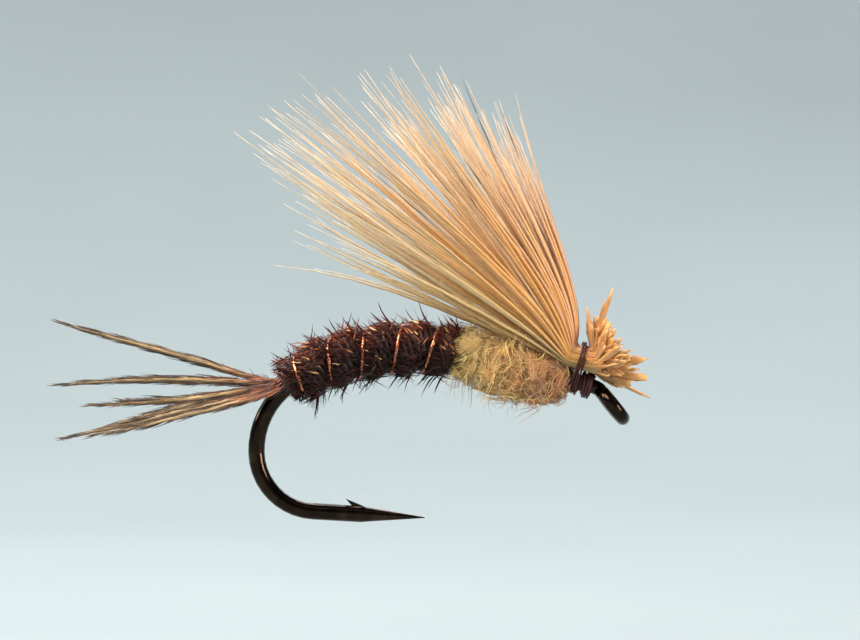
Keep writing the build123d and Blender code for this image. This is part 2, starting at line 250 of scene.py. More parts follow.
class Shader:
    """A Principled material and short ways to add the nodes that vary it over the surface."""

    def __init__(self, name):
        self.material = bpy.data.materials.new(name)
        self.material.use_nodes = True
        self.tree = self.material.node_tree
        self.bsdf = self.tree.nodes["Principled BSDF"]

    def set(self, **values):
        for key, value in values.items():
            self.bsdf.inputs[key.replace("_", " ")].default_value = value

    def node(self, kind, **properties):
        node = self.tree.nodes.new(kind)
        for key, value in properties.items():
            setattr(node, key, value)
        return node

    def link(self, source, target):
        self.tree.links.new(source, target)

    def coordinates(self, scale):
        place = self.node("ShaderNodeTexCoord")
        mapping = self.node("ShaderNodeMapping")
        mapping.inputs["Scale"].default_value = scale
        self.link(place.outputs["Object"], mapping.inputs["Vector"])
        return mapping.outputs["Vector"]

    def noise(self, scale, detail=3.0, stretch=(1, 1, 1)):
        """Noise with a scale in features per millimetre."""
        noise = self.node("ShaderNodeTexNoise")
        noise.inputs["Scale"].default_value = 1.0
        noise.inputs["Detail"].default_value = detail
        noise.inputs["Roughness"].default_value = 0.55
        per_metre = [scale / MM * s for s in stretch]
        self.link(self.coordinates(per_metre), noise.inputs["Vector"])
        return noise.outputs["Fac"]

    def ramp(self, source, stops):
        ramp = self.node("ShaderNodeValToRGB")
        elements = ramp.color_ramp.elements
        while len(elements) < len(stops):
            elements.new(0.5)
        for element, (place, colour) in zip(elements, stops):
            element.position = place
            element.color = (*colour, 1.0)
        self.link(source, ramp.inputs["Fac"])
        return ramp.outputs["Color"]

    def levels(self, source, low, high):
        """Maps 0..1 to low..high."""
        node = self.node("ShaderNodeMapRange")
        node.inputs["To Min"].default_value = low
        node.inputs["To Max"].default_value = high
        self.link(source, node.inputs["Value"])
        return node.outputs["Result"]

    def multiply(self, first, second):
        node = self.node("ShaderNodeMix", data_type="RGBA", blend_type="MULTIPLY")
        factor, colour_a, colour_b = (node.inputs[i] for i in (0, 6, 7))
        factor.default_value = 1.0
        self.link(first, colour_a)
        self.link(second, colour_b)
        return node.outputs[2]

    def bump(self, source, depth, strength):
        node = self.node("ShaderNodeBump")
        node.inputs["Strength"].default_value = strength
        node.inputs["Distance"].default_value = depth * MM
        self.link(source, node.inputs["Height"])
        self.link(node.outputs["Normal"], self.bsdf.inputs["Normal"])

    def tinted(self, scale, dark, light):
        """Base colour from the strands' own tint, mottled by noise."""
        tint = self.node("ShaderNodeVertexColor", layer_name="tint").outputs["Color"]
        mottle = self.levels(self.noise(scale), dark, light)
        self.link(self.multiply(tint, mottle), self.bsdf.inputs["Base Color"])


def hook_metal():
    m = Shader("bronzed_hook_wire")
    m.set(Metallic=1.0, IOR=1.5)
    colour = m.ramp(m.noise(2.2, detail=5), [(0.30, srgb(32, 25, 21)), (0.55, srgb(48, 38, 31)),
                                             (0.75, srgb(70, 54, 42))])
    m.link(colour, m.bsdf.inputs["Base Color"])
    m.link(m.levels(m.noise(6.0, detail=4), 0.06, 0.15), m.bsdf.inputs["Roughness"])
    m.bump(m.noise(40.0, detail=4), 0.004, 0.35)
    return m.material


def copper():
    m = Shader("copper_rib_wire")
    m.set(Metallic=1.0)
    colour = m.ramp(m.noise(3.0, detail=4), [(0.30, srgb(150, 82, 58)), (0.55, srgb(214, 132, 98)),
                                             (0.75, srgb(244, 178, 140))])
    m.link(colour, m.bsdf.inputs["Base Color"])
    m.link(m.levels(m.noise(8.0, detail=3), 0.18, 0.34), m.bsdf.inputs["Roughness"])
    m.bump(m.noise(50.0, detail=3), 0.003, 0.3)
    return m.material


def thread_fibre():
    m = Shader("waxed_tying_thread")
    m.set(Coat_Weight=0.1, Coat_Roughness=0.35, Specular_IOR_Level=0.35)
    fibres = m.noise(34.0, detail=3, stretch=(2.4, 0.35, 1.0))
    colour = m.ramp(fibres, [(0.30, srgb(26, 6, 6)), (0.52, srgb(56, 16, 13)),
                             (0.75, srgb(100, 34, 24))])
    m.link(colour, m.bsdf.inputs["Base Color"])
    m.link(m.levels(fibres, 0.65, 0.42), m.bsdf.inputs["Roughness"])
    m.bump(fibres, 0.012, 0.8)
    return m.material


def feather(name, coat, sheen, light, specular):
    m = Shader(name)
    m.set(Coat_Weight=coat, Coat_Roughness=0.28, Sheen_Weight=sheen, Sheen_Roughness=0.35,
          Specular_IOR_Level=specular)
    m.tinted(18.0, 0.6, light)
    m.link(m.levels(m.noise(26.0), 0.32, 0.62), m.bsdf.inputs["Roughness"])
    m.bump(m.noise(60.0, detail=2), 0.004, 0.5)
    return m.material


def deer_hair():
    m = Shader("deer_hair")
    m.set(Sheen_Weight=0.25, Sheen_Roughness=0.4, Coat_Weight=0.12, Coat_Roughness=0.3)
    m.tinted(5.0, 0.78, 1.22)
    m.link(m.levels(m.noise(22.0), 0.34, 0.6), m.bsdf.inputs["Roughness"])
    m.bump(m.noise(30.0, detail=3), 0.006, 0.5)
    return m.material


def fur():
    m = Shader("dubbing_fur")
    m.set(Sheen_Weight=0.6, Sheen_Roughness=0.45)
    m.tinted(9.0, 0.75, 1.25)
    m.link(m.levels(m.noise(24.0), 0.5, 0.8), m.bsdf.inputs["Roughness"])
    m.bump(m.noise(40.0, detail=3), 0.006, 0.5)
    return m.material


def studio_paint():
    m = Shader("studio_paint")
    colour = m.ramp(m.noise(0.02, detail=2), [(0.2, srgb(130, 139, 142)), (0.8, srgb(136, 145, 147))])
    m.link(colour, m.bsdf.inputs["Base Color"])
    m.set(Roughness=0.9)
    return m.material


# ---------------------------------------------------------------- hair wing

def hair_places(count, rng):
    """Loosely packed hairs in the band: across and up, as fractions of the bundle's half sizes."""
    pitch = math.sqrt(math.pi * BUNDLE_HALF_W * BUNDLE_HALF_H / count / PACKED_SHARE)
    rows, columns = np.mgrid[-14:15, -24:25]         # more rows and columns than fit in the bundle
    across = (columns + 0.5 * (rows % 2)) * pitch / BUNDLE_HALF_W
    high = rows * pitch * ROW_PITCH / BUNDLE_HALF_H
    places = np.stack([across.ravel(), high.ravel()], 1)
    order = np.argsort(np.sum(places ** 2, 1), kind="stable")
    places = places[order[:count]]
    jitter = rng.uniform(-0.25, 0.25, places.shape) * [pitch / BUNDLE_HALF_W, pitch / BUNDLE_HALF_H]
    return np.clip(places + jitter, -1.0, 1.0)


def in_the_band(across, height):
    """Points inside the thread band, from fractions of the bundle's half sizes, and its direction."""
    centre, along, up = station(BAND_RUN)
    points = (centre + up * BUNDLE_LIFT + ACROSS * (across * BUNDLE_HALF_W)[:, None]
              + up * (height * BUNDLE_HALF_H)[:, None])
    return points, along


def grow(start, length, steps, elevation, yaw, forward):
    """Walks each hair from its start along headings that are functions of the distance walked."""
    t = (np.arange(steps + 1) / steps) ** 1.5
    walked = length[:, None] * t
    middle = (walked[:, 1:] + walked[:, :-1]) / 2
    e, y = np.radians(elevation(middle)), np.radians(yaw(middle))
    heading = np.stack([np.cos(e) * np.cos(y) * forward, np.cos(e) * np.sin(y), np.sin(e)], -1)
    moves = heading * np.diff(walked, axis=1)[..., None]
    points = start[:, None] + np.concatenate([np.zeros((len(start), 1, 3)), np.cumsum(moves, 1)], 1)
    return points, walked


def hair_colours(height, rng):
    """Root and tip colour of each hair: rosy at the front of the wing, golden, straw at the rear."""
    count = len(height)
    gold, rose = srgb(202, 144, 74), srgb(204, 150, 112)
    straw, pale = srgb(184, 152, 96), srgb(228, 204, 166)
    front = smooth((height + rng.normal(0, 0.22, count) - 0.2) / 0.6)[:, None]
    rear = smooth((-height + rng.normal(0, 0.22, count) - 0.2) / 0.6)[:, None]
    root = gold * (1 - front) + rose * front
    root = root * (1 - rear) + straw * rear
    root = root * rng.uniform(0.86, 1.1, (count, 1))
    light = (rng.random(count) < 0.14)[:, None]
    root = np.where(light, root * 0.4 + pale * 0.6, root)
    tip = root * 0.45 + srgb(204, 184, 158) * 0.55
    tip = tip * rng.uniform(0.85, 1.1, (count, 1))
    dark = (rng.random(count) < 0.03) & (height > -0.4)
    tip[dark] = srgb(78, 72, 66)
    return root, tip


def clump_aims(places, rng):
    """Hairs gather in clumps towards their tips: where each hair heads, and its clump's length."""
    count = len(places)
    clumps = np.stack([rng.uniform(-1, 1, CLUMPS), rng.uniform(-1.05, 1.0, CLUMPS)], 1)
    nearest = np.argmin(np.linalg.norm(places[:, None] - clumps, axis=2), 1)
    pull = rng.uniform(0.55, 0.98, count)[:, None]
    cut = 1 - 0.28 * rng.random(CLUMPS) ** 1.2
    return places * (1 - pull) + clumps[nearest] * pull, cut[nearest]


def butts(middle, along, across, height, length, rng):
    """The clipped ends in front of the band: flattened, splayed and of uneven length."""
    count = len(height)
    tilt, turn = rng.normal(0, 12, count), rng.normal(0, 14, count)

    def elevation(walked):
        rise = (BUTT_RISE[0] + BUTT_RISE[1] * height + tilt)[:, None]
        return -SHANK_RISE + (rise + SHANK_RISE) * smooth(walked / 0.3)

    def yaw(walked):
        return (BUTT_YAW * across + turn)[:, None] * smooth(walked / 0.25)

    front = middle - along * (BAND_HALF_L + 0.25 * (1 - height))[:, None]
    points, _ = grow(front, length, 8, elevation, yaw, 1)
    u = np.linspace(0, 1, points.shape[1])[None]
    swell = smooth(u * 1.3)
    wide = HAIR_BAND_R + (rng.uniform(0.06, 0.16, (count, 1)) - HAIR_BAND_R) * swell
    thin = HAIR_BAND_R + (rng.uniform(0.035, 0.06, (count, 1)) - HAIR_BAND_R) * swell
    clipped = np.where(u > 0.99, rng.uniform(0.15, 0.7, (count, 1)), 1.0)
    end = srgb(190, 128, 62) * rng.uniform(0.55, 1.15, (count, 1))
    return points, wide * clipped, thin * clipped, u, end


def wing_hairs(rng):
    """Every hair from clipped butt to tip: points, half widths, half thicknesses, colours, places."""
    count = HAIR_LOCKS * HAIRS_PER_LOCK
    places = hair_places(count, rng)
    across, height = places[:, 0], places[:, 1]
    middle, along = in_the_band(across, height)

    aims, clump_cut = clump_aims(places, rng)
    last = WING_RISE_FAR[0] + WING_RISE_FAR[1] * aims[:, 1] + rng.normal(0, 1.6, count)
    first = WING_RISE_NEAR[0] + WING_RISE_NEAR[1] * height + rng.normal(0, 1.5, count)
    settle = 1.75 - 0.75 * height            # distance over which the rise settles
    side = WING_YAW * aims[:, 0] + rng.normal(0, 1.6, count)
    droop = rng.normal(0, 2.0, count)
    droop[np.argsort(height)[:6:2]] += STRAY_DROOP
    shorter = WING_FRONT_CUT * np.maximum(0, aims[:, 1] + 0.1) ** 1.3
    length = (WING_LENGTH - shorter) * clump_cut * (1 - 0.36 * rng.random(count) ** 1.4)

    def elevation(walked):
        free = last[:, None] + (first - last)[:, None] * np.exp(-walked / settle[:, None])
        free = free - droop[:, None] * (walked / length[:, None]) ** 2 * 2
        return SHANK_RISE + (free - SHANK_RISE) * smooth(walked / 0.26)

    def yaw(walked):
        flare = SIDE_FLARE * across[:, None] * smooth(walked / 0.2) * np.exp(-walked / 0.7)
        return side[:, None] * smooth(walked / 1.2) + flare

    run_on = 0.27 * (1 - height) * (1.0 - 0.2 * (1 - height))
    rear = middle + along * (BAND_HALF_L + run_on)[:, None]
    wing, walked = grow(rear, length, 22, elevation, yaw, -1)
    wave = rng.uniform(0.9, 1.8, (count, 1))
    swing = 0.018 * rng.uniform(0.3, 1.3, (count, 1)) * smooth(walked / 2.0)
    phase = rng.uniform(0, 2 * np.pi, (count, 1))
    wing += (swing * np.sin(2 * np.pi * walked / wave + phase))[..., None] * ACROSS
    wing += (swing * np.cos(2 * np.pi * walked / wave + phase * 2))[..., None] * UP * 0.6
    free_r = rng.uniform(*HAIR_FREE_R, (count, 1))
    t = walked / length[:, None]
    wing_r = HAIR_BAND_R + (free_r - HAIR_BAND_R) * smooth(walked / 1.8)
    wing_r = wing_r * (1 - 0.93 * t ** 2.4)

    butt_length = BUTT_LENGTH * rng.uniform(0.55, 1.35, count)
    butt_length = np.where(rng.random(count) < 0.04, butt_length * 1.6, butt_length)
    foremost = np.argsort(0.4 * np.abs(across + 0.25) - height)[:14:5]
    butt_length[foremost] = LONG_UPPER_BUTTS
    butt_length[np.argsort(height)[:9:3]] = LONG_LOWER_BUTTS
    butt, butt_wide, butt_thin, u, end = butts(middle, along, across, height, butt_length, rng)
    points = np.concatenate([butt[:, ::-1], wing], 1)
    wide = np.concatenate([butt_wide[:, ::-1], wing_r], 1)
    thin = np.concatenate([butt_thin[:, ::-1], wing_r * 0.8], 1)

    root, tip = hair_colours(height, rng)
    mix = smooth((t - 0.3) / 0.6)[..., None]
    wing_tint = root[:, None] * (1 - mix) + tip[:, None] * mix
    butt_tint = root[:, None] * (1 - u[..., None]) + end[:, None] * u[..., None]
    butt_tint[:, -1] = srgb(206, 158, 96)
    tint = np.concatenate([butt_tint[:, ::-1], wing_tint], 1)
    return points, wide, thin, tint, places


def build_short_ends(material):
    """Shorter clipped hairs and underfur that fill the clump between the long butts."""
    rng = np.random.default_rng(8)
    angle, reach = rng.uniform(0, 2 * np.pi, SHORT_ENDS), np.sqrt(rng.random(SHORT_ENDS))
    across, height = reach * np.cos(angle), reach * np.sin(angle)
    middle, along = in_the_band(across, height)
    length = BUTT_LENGTH * rng.uniform(0.30, 0.95, SHORT_ENDS)
    points, wide, thin, _, end = butts(middle, along, across, height, length, rng)
    # painted shade: the short ends inside the clump get 0.8 of the butts' end colour
    tint = np.repeat(end[:, None] * 0.8, points.shape[1], 1)
    data = strands(points, wide * 0.6, thin * 0.8, tint, 5, rng.uniform(0, np.pi, SHORT_ENDS))
    make_piece("wing_short_clipped_ends", data, material)


def build_wing(material):
    """Sorts the hairs into locks, layer by layer from the lowest, as the CAD model has them."""
    rng = np.random.default_rng(41)
    points, wide, thin, tint, places = wing_hairs(rng)
    turn = rng.uniform(0, np.pi, len(points))
    order = np.lexsort((places[:, 0], places[:, 1]))
    layer = HAIRS_PER_LOCK * LOCKS_ACROSS
    lock = 0
    for start in range(0, len(order), layer):
        row = order[start:start + layer]
        row = row[np.argsort(places[row, 0], kind="stable")]
        for first in range(0, layer, HAIRS_PER_LOCK):
            members = row[first:first + HAIRS_PER_LOCK]
            lock += 1
            node = f"wing_hair_lock_{lock:02d}"
            data = strands(points[members], wide[members], thin[members], tint[members], 7,
                           turn[members])
            make_piece(f"{node}_hair", data, material, [node])


# ---------------------------------------------------------------- tail

# name, place round the shank in steps, way point and tip as X, Y, Z
TAIL_BARBS = [
    ("top_1", 0, (-14.4, -0.05, 1.77), (-17.95, -0.15, 2.72)),
    ("top_2", 1, (-14.2, 0.18, 1.64), (-17.00, 0.30, 2.42)),
    ("upper_1", -1, (-14.2, -0.32, 0.84), (-17.80, -0.55, 0.66)),
    ("upper_2", 2, (-14.0, 0.40, 0.78), (-17.25, 0.75, 0.74)),
    ("lower_1", -2, (-13.9, -0.48, 0.18), (-16.75, -0.85, 0.02)),
    ("lower_2", 3, (-13.3, 0.75, 0.14), (-15.90, 1.30, 0.12)),
    ("bottom_1", -3, (-14.3, -0.62, -0.34), (-17.50, -1.05, -1.05)),
    ("bottom_2", 4, (-13.9, 0.90, -0.06), (-16.70, 1.40, -0.88)),
    ("bottom_3", -4, (-13.7, -0.80, -0.34), (-16.60, -1.25, -0.96)),
]


def curve_through(start, heading, way, tip, steps):
    """A smooth path from a start heading through a way point to a tip."""
    start, way, tip = (np.array(p, float) for p in (start, way, tip))
    first = np.linalg.norm(way - start)
    second = np.linalg.norm(tip - way)
    through = unit(tip - start)
    out = []
    for a, b, ta, tb, reach, count in (
            (start, way, heading, through, first, steps // 2),
            (way, tip, through, unit(tip - way), second, steps - steps // 2)):
        s = np.linspace(0, 1, count + 1)[:, None]
        from_a, along_a = 2 * s ** 3 - 3 * s ** 2 + 1, s ** 3 - 2 * s ** 2 + s
        from_b, along_b = -2 * s ** 3 + 3 * s ** 2, s ** 3 - s ** 2
        out.append(from_a * a + along_a * ta * reach + from_b * b + along_b * tb * reach)
    return np.concatenate([out[0], out[1][1:]])


def barbules(shaft, half_width, span, count, length, lean, thickness, rng, tints, scatter=0.5):
    """Fine branches that leave a shaft's edges at a small angle and lie close to it."""
    steps = 6
    total = len(shaft)
    t = rng.uniform(*span, count)
    place = t * (total - 1)
    low = np.clip(place.astype(int), 0, total - 2)
    f = (place - low)[:, None]
    root = shaft[low] * (1 - f) + shaft[low + 1] * f
    along = unit(shaft[low + 1] - shaft[low])
    edge = np.where(rng.random(count) < 0.5, 0.0, np.pi) + rng.normal(0, scatter, count)
    level = unit(np.cross(along, ACROSS + 1e-6))
    out = level * np.cos(edge)[:, None] + ACROSS * np.sin(edge)[:, None] * 0.8
    out = unit(out - along * np.sum(out * along, 1, keepdims=True))
    root = root + out * (half_width[low] * 0.7)[:, None]
    reach = length * rng.uniform(0.6, 1.2, count) * (1 - 0.5 * smooth((t - 0.6) / 0.4))
    angle = np.radians(lean * rng.uniform(0.5, 1.5, count))
    s = np.linspace(0, 1, steps)[None, :, None]
    bend = np.sin(angle)[:, None, None] * (s - 0.6 * s ** 2)
    points = (root[:, None] + along[:, None] * (np.cos(angle)[:, None, None] * s) * reach[:, None, None]
              + out[:, None] * (bend * reach[:, None, None]))
    width = thickness * rng.uniform(0.7, 1.2, (count, 1)) * (1 - 0.85 * s[..., 0] ** 1.3)
    pick = rng.integers(0, len(tints), count)
    shade = np.array(tints)[pick] * rng.uniform(0.7, 1.3, (count, 1))
    tint = np.repeat(shade[:, None], steps, 1)
    return strands(points, width, width * 0.5, tint, 4, rng.uniform(0, np.pi, count))


def tail_shaft(place, way, tip, rng):
    """Centreline of one barb, from under the abdomen to its tip, with a little wobble."""
    angle = math.radians(place * TAIL_STEP)
    runs = np.linspace(TAIL_ROOT_RUN - 1.2, TAIL_ROOT_RUN + 0.30, 7)
    inner = round_the_shank(runs, np.full(7, angle), np.full(7, TAIL_LIE))
    heading = unit(inner[-1] - inner[-2])
    outer = curve_through(inner[-1], heading * 0.25, way, tip, 34)
    shaft = np.concatenate([inner, outer[1:]])
    wobble = rng.normal(0, 0.05, shaft.shape)
    wobble = np.apply_along_axis(lambda a: np.convolve(a, np.ones(9) / 9, "same"), 0, wobble)
    return shaft + wobble * smooth((np.arange(len(shaft)) - 8) / 12)[:, None]


def build_tail(material):
    """Nine long barbs, barred tan and brown, rust red where they leave the abdomen."""
    rng = np.random.default_rng(7)
    dark = [srgb(58, 38, 24), srgb(84, 58, 34), srgb(44, 30, 22)]
    mid = [srgb(132, 104, 66), srgb(158, 130, 92), srgb(108, 76, 46)]
    rust = [srgb(112, 48, 26), srgb(76, 32, 20), srgb(52, 24, 18), srgb(176, 104, 50)]
    for name, place, way, tip in TAIL_BARBS:
        shaft = tail_shaft(place, way, tip, rng)
        t = np.linspace(0, 1, len(shaft))
        wide = 0.05 + 0.035 * smooth((t - 0.15) / 0.25)
        wide = wide * (1 - 0.9 * smooth((t - 0.45) / 0.55))
        bars = 0.5 + 0.5 * np.sin(t * 26 + rng.uniform(0, 6))[:, None]
        near_root = smooth(1 - (t - 0.18) / 0.22)[:, None]
        tan = srgb(178, 148, 106) * (0.72 + 0.3 * bars)
        colour = tan * (1 - near_root) + srgb(122, 56, 30) * near_root
        colour = colour * (1 - 0.45 * smooth((t - 0.75) / 0.25)[:, None])
        parts = [strands(shaft[None], wide[None], wide[None] * 0.8, colour[None], 8),
                 barbules(shaft, wide, (0.30, 0.975), 170, 0.85, 9, 0.020, rng, dark),
                 barbules(shaft, wide, (0.26, 0.96), 230, 0.60, 5, 0.018, rng, mid, 1.6),
                 barbules(shaft, wide, (0.14, 0.42), 110, 0.60, 12, 0.020, rng, rust, 1.2),
                 barbules(shaft, wide, (0.20, 0.50), 12, 0.42, 42, 0.013, rng, dark)]
        node = f"tail_barb_{name}"
        make_piece(f"{node}_feather", join(parts), material, [node])


# ---------------------------------------------------------------- abdomen

def herl_level(run, angle):
    """Outer level of the wound barbs: it bulges between the rib's turns and sinks under them."""
    t = np.clip((run - ABDOMEN_RUN[0]) / (ABDOMEN_RUN[1] - ABDOMEN_RUN[0]), 0, 1)
    rib_t = (run - RIB_RUN[0]) / (RIB_RUN[1] - RIB_RUN[0])
    rib = RIB_TURNS * 2 * np.pi * rib_t + math.radians(RIB_PHASE)
    away = np.abs(np.sin((angle - rib) / 2))
    ends = smooth(np.minimum(t / 0.05, (1 - t) / 0.03))
    return ABDOMEN_LEVEL + ABDOMEN_SWELL * np.sin(np.pi * t) + ABDOMEN_BEAD * away * ends


def herl_quill(index):
    """The barb's own shaft, wound over the shank."""
    count = int(ABDOMEN_TURNS * 26)
    t = np.linspace(0, 1, count)
    run = ABDOMEN_RUN[0] + (ABDOMEN_RUN[1] - ABDOMEN_RUN[0]) * t
    angle = 2 * np.pi * (ABDOMEN_TURNS * t + index / ABDOMEN_BARBS)
    points = round_the_shank(run, angle, herl_level(run, angle) - 0.12)
    width = np.full((1, count), 0.098)
    return strands(points[None], width, width * 0.7, np.tile(srgb(34, 15, 13), (1, count, 1)), 8)


# kind, count on each barb, reach, how far it stands off, half width, sideways slant
HERL_KINDS = [
    ("lying", 900, (0.32, 0.58), (0.00, 0.12), (0.016, 0.030), (0.0, 0.4)),
    ("blade", 44, (0.50, 0.95), (0.30, 0.80), (0.036, 0.062), (0.5, 1.2)),
    ("dagger", 42, (0.34, 0.66), (0.70, 1.50), (0.050, 0.082), (-0.1, 0.8)),
    ("spike", 110, (0.25, 0.50), (0.50, 1.40), (0.010, 0.018), (-0.4, 1.2)),
    ("glint", 16, (0.22, 0.42), (0.05, 0.30), (0.040, 0.072), (0.4, 1.0)),
]


def herl_tint(kind, count, s, top, rng):
    """Painted light and shade: chestnut where a barbule faces up, near black where it faces down; glints
    are painted pale gold highlights; lit blades get a painted copper highlight at the root and are dark
    at the tip.
    """
    nap = np.array([srgb(34, 10, 9), srgb(48, 16, 12), srgb(66, 24, 17), srgb(26, 10, 11)])
    chestnut = np.array([srgb(104, 34, 20), srgb(142, 58, 28), srgb(78, 26, 18)])
    # painted highlights: pale gold colours for the glint barbules
    glint = np.array([srgb(232, 168, 104), srgb(210, 126, 66), srgb(240, 196, 140)])
    dark = nap[rng.integers(0, 4, count)] * rng.uniform(0.7, 1.3, (count, 1))
    warm = chestnut[rng.integers(0, 3, count)] * rng.uniform(0.7, 1.3, (count, 1))
    # painted light from above: the share of chestnut grows as the barbule faces up, and the near black
    # below is painted shade
    upper = (smooth((top + 0.15) / 0.8) * rng.uniform(0.3, 1.0, count))[:, None]
    tint = np.repeat((dark * (1 - upper) + warm * upper)[:, None], s.shape[1], 1)
    if kind == "glint":
        bright = glint[rng.integers(0, 3, count)]
        tint = np.repeat(bright[:, None], s.shape[1], 1) * (1 - 0.5 * s)
    if kind == "blade":
        # painted highlight: blades that face up, six in ten of them, get a copper highlight colour at
        # the root
        lit = upper * (rng.random((count, 1)) < 0.6)
        painted_root_highlight = srgb(206, 116, 56) * ((1 - smooth(s / 0.55)) * lit[:, None])
        tint = tint * (1 - 0.6 * smooth(s)) + painted_root_highlight
    if kind == "dagger":
        tint = tint * (1 - 0.65 * smooth(s / 0.7))
    return tint


def herl_barbules(index, kind, count, reach, stand, half_width, slant, rng):
    """One kind of barbule along one barb."""
    steps = 7
    t = rng.uniform(0.0, 1.0, count)
    if kind == "spike":
        t = np.where(rng.random(count) < 0.25, rng.uniform(0.85, 1.0, count), t)
    angle = 2 * np.pi * (ABDOMEN_TURNS * t + index / ABDOMEN_BARBS) + rng.uniform(-0.3, 0.3, count)
    # painted highlights: glint barbules go on the near upper side, where the light falls
    if kind == "glint":
        angle = rng.normal(-0.9, 0.6, count)
    run = ABDOMEN_RUN[0] + (ABDOMEN_RUN[1] - ABDOMEN_RUN[0]) * t
    centre, along, up = station(run)
    out = up * np.cos(angle)[:, None] + ACROSS * np.sin(angle)[:, None]
    sweep = up * -np.sin(angle)[:, None] + ACROSS * np.cos(angle)[:, None]
    back = np.where(rng.random(count) < 0.8, 1.0, -0.7) * rng.uniform(0.6, 1.0, count)
    lie = unit(along * back[:, None] + sweep * rng.uniform(*slant, count)[:, None])
    stands = rng.uniform(*stand, count)[:, None, None]
    far = (rng.uniform(*reach, count) * (1 - 0.55 * smooth((t - 0.88) / 0.12)))[:, None, None]
    s = np.linspace(0, 1, steps)[None, :, None]
    root = centre + out * (herl_level(run, angle) - 0.03)[:, None]
    path = (root[:, None] + lie[:, None] * (s * (1 - 0.25 * stands * s)) * far
            + out[:, None] * (stands * s ** 1.2 * far - 0.25 * s ** 2 * far ** 2))
    belly = np.minimum(1.0, 0.3 + 4 * s[..., 0]) * (1 - 0.95 * s[..., 0] ** 1.6)
    width = rng.uniform(*half_width, (count, 1)) * belly
    tint = herl_tint(kind, count, s, out[:, 2], rng)
    return strands(path, width, width * 0.4, tint, 4, rng.uniform(-0.5, 0.5, count))


def build_abdomen(material):
    """Five feather barbs wound side by side, each with its nap of barbules."""
    rng = np.random.default_rng(23)
    for index in range(ABDOMEN_BARBS):
        node = f"abdomen_barb_{index + 1}"
        parts = [herl_quill(index)]
        for kind in HERL_KINDS:
            parts.append(herl_barbules(index, *kind, rng))
        make_piece(f"{node}_herl", join(parts), material, [node])


# ---------------------------------------------------------------- thorax

def thorax_level(t, angle):
    """Outer level of the dubbed body: full from the head on, and it hangs lower than it rises."""
    t = np.clip(t, 0, 1)
    full = np.sin(np.pi * t) ** np.where(t < 0.5, 0.45, 0.62)
    below = 0.5 - 0.5 * np.cos(angle)
    return SHANK_TOP + 0.20 + 0.36 * full + 0.24 * below * np.sin(np.pi * t) ** 0.7


def thorax_tint(t, angle, rng):
    """Tan-orange at the head, golden, then olive yellow at the rear; darker red under the head."""
    count = len(t)
    gold, olive = srgb(214, 156, 82), srgb(210, 174, 96)
    tan, red = srgb(202, 134, 72), srgb(122, 60, 44)
    noise = rng.normal(0, 0.18, (2, count))
    rear = smooth((t + noise[0] - 0.35) / 0.4)[:, None]
    head = smooth((0.45 - t + noise[1]) / 0.35)[:, None]
    under = (smooth((0.12 - t + noise[0] * 0.3) / 0.1) * (0.5 - 0.5 * np.cos(angle)))[:, None]
    shade = gold * (1 - rear) + olive * rear
    shade = shade * (1 - head) + tan * head
    shade = shade * (1 - under) + red * under
    light = rng.random(count) < 0.10
    shade[light] = shade[light] * 0.5 + srgb(240, 222, 156) * 0.5
    return shade * rng.uniform(0.72, 1.15, (count, 1))


def thorax_core():
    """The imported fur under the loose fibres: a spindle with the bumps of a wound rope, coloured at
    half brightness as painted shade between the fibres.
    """
    rng = np.random.default_rng(5)
    rings, sides = 90, 56
    t = np.linspace(0, 1, rings)
    run = THORAX_RUN[0] + (THORAX_RUN[1] - THORAX_RUN[0]) * t
    centre, _, up = station(run)
    angle = 2 * np.pi * np.arange(sides) / sides
    column, row = t[:, None], angle[None]
    rope = np.sin(2 * np.pi * (7.0 * column) - row) * 0.07
    rope = rope + 0.03 * np.sin(5 * row + 19 * column) * np.sin(3 * row - 11 * column)
    level = thorax_level(column, row) - 0.15 + rope + rng.normal(0, 0.016, (rings, sides))
    ends = smooth(np.minimum(t, 1 - t) / 0.06)[:, None]
    level = SHANK_TOP - 0.03 + (level - SHANK_TOP + 0.03) * ends
    out = up[:, None] * np.cos(angle)[None, :, None] + ACROSS * np.sin(angle)[None, :, None]
    verts = (centre[:, None] + out * level[..., None]).reshape(-1, 3)
    j = np.arange(sides)
    base = (np.arange(rings - 1) * sides)[:, None]
    a, b = base + j, base + (j + 1) % sides
    quads = np.stack([a, b, b + sides, a + sides], -1).reshape(-1)
    corners = np.concatenate([quads, j[::-1], (rings - 1) * sides + j])
    sizes = np.concatenate([np.full(len(quads) // 4, 4), [sides, sides]])
    # painted shade: the packed fur is half as bright as the fibres on it, so it reads dark between them
    tint = thorax_tint(np.repeat(t, sides), np.tile(angle, rings), rng) * 0.5
    return verts, corners, sizes, tint


